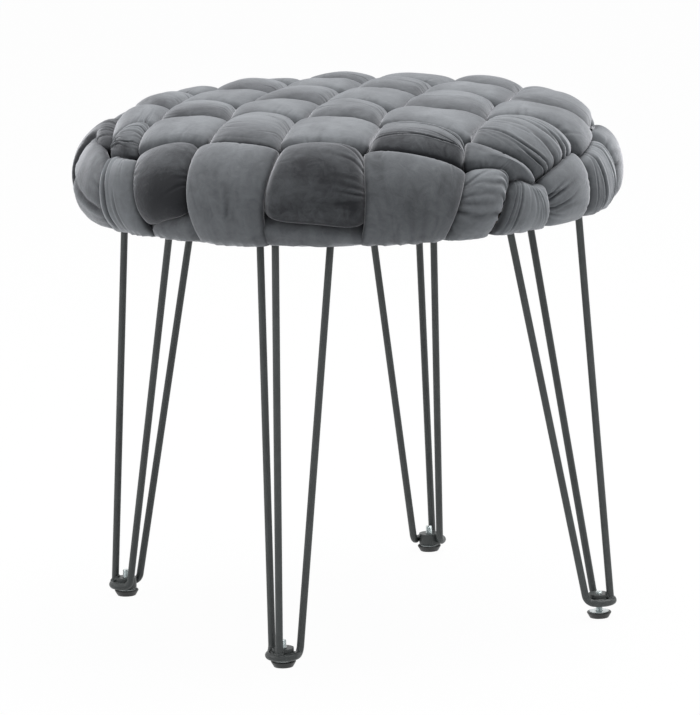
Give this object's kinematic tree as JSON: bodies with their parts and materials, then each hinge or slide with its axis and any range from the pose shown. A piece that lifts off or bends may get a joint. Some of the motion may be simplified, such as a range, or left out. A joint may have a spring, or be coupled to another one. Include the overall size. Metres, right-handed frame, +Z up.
{
  "type": "stool",
  "caption": "Round stool with a seat woven from stuffed velvet bands, on hairpin legs of steel rod with screw-adjusted feet.",
  "frame": {"origin": "on the floor under the middle of the seat", "axes": "+Z up, +X through the right leg, +Y through the back leg, -Y towards the front"},
  "size_m": [0.4701, 0.4773, 0.4606],
  "materials": {
    "velvet": "dark grey velvet, soft sheen",
    "foam": "foam in a dark grey cloth skin",
    "plywood": "raw plywood",
    "cover_cloth": "black non-woven cloth",
    "black_steel": "satin black powder coat",
    "zinc_steel": "bright zinc plate",
    "black_plastic": "black moulded plastic"
  },
  "bodies": {
    "root": {"lengthwise_band_1": "velvet", "lengthwise_band_2": "velvet", "lengthwise_band_3": "velvet", "lengthwise_band_4": "velvet", "lengthwise_band_5": "velvet", "lengthwise_band_6": "velvet", "cross_band_1": "velvet", "cross_band_2": "velvet", "cross_band_3": "velvet", "cross_band_4": "velvet", "cross_band_5": "velvet", "cross_band_6": "velvet", "foam_core": "foam", "seat_board": "plywood", "dust_cover": "cover_cloth", "plate_screws": "zinc_steel", "right_leg_plate": "black_steel", "right_hairpin_rod": "black_steel", "right_outer_rod": "black_steel", "right_leg_bush": "black_steel", "back_leg_plate": "black_steel", "back_hairpin_rod": "black_steel", "back_outer_rod": "black_steel", "back_leg_bush": "black_steel", "left_leg_plate": "black_steel", "left_hairpin_rod": "black_steel", "left_outer_rod": "black_steel", "left_leg_bush": "black_steel", "front_leg_plate": "black_steel", "front_hairpin_rod": "black_steel", "front_outer_rod": "black_steel", "front_leg_bush": "black_steel"},
    "right_foot": {"right_foot_base": "black_plastic", "right_foot_cap": "zinc_steel"},
    "right_stud": {"right_foot_stud": "zinc_steel"},
    "back_foot": {"back_foot_base": "black_plastic", "back_foot_cap": "zinc_steel"},
    "back_stud": {"back_foot_stud": "zinc_steel"},
    "left_foot": {"left_foot_base": "black_plastic", "left_foot_cap": "zinc_steel"},
    "left_stud": {"left_foot_stud": "zinc_steel"},
    "front_foot": {"front_foot_base": "black_plastic", "front_foot_cap": "zinc_steel"},
    "front_stud": {"front_foot_stud": "zinc_steel"}
  },
  "joints": [
    {"name": "right_foot_travel", "type": "slide", "parent": "root", "child": "right_foot", "axis": [0, 0, 1], "range_m": [-0.0065, 0.0058]},
    {"name": "right_stud_turn", "type": "hinge", "parent": "right_foot", "child": "right_stud", "pos_m": [0.2193, 0, 0.0152], "axis": [0, 0, 1], "range_deg": [-2344, 2092]},
    {"name": "back_foot_travel", "type": "slide", "parent": "root", "child": "back_foot", "axis": [0, 0, 1], "range_m": [-0.0115, 0.0008]},
    {"name": "back_stud_turn", "type": "hinge", "parent": "back_foot", "child": "back_stud", "pos_m": [0, 0.2193, 0.0152], "axis": [0, 0, 1], "range_deg": [-4144, 292]},
    {"name": "left_foot_travel", "type": "slide", "parent": "root", "child": "left_foot", "axis": [0, 0, 1], "range_m": [-0.0115, 0.0008]},
    {"name": "left_stud_turn", "type": "hinge", "parent": "left_foot", "child": "left_stud", "pos_m": [-0.2193, 0, 0.0152], "axis": [0, 0, 1], "range_deg": [-4144, 292]},
    {"name": "front_foot_travel", "type": "slide", "parent": "root", "child": "front_foot", "axis": [0, 0, 1], "range_m": [-0.0115, 0.0008]},
    {"name": "front_stud_turn", "type": "hinge", "parent": "front_foot", "child": "front_stud", "pos_m": [0, -0.2193, 0.0152], "axis": [0, 0, 1], "range_deg": [-4144, 292]}
  ],
  "couplings": [
    {"joint": "right_stud_turn", "follows": "right_foot_travel", "rad_per_m": 6283.2},
    {"joint": "back_stud_turn", "follows": "back_foot_travel", "rad_per_m": 6283.2},
    {"joint": "left_stud_turn", "follows": "left_foot_travel", "rad_per_m": 6283.2},
    {"joint": "front_stud_turn", "follows": "front_foot_travel", "rad_per_m": 6283.2}
  ]
}
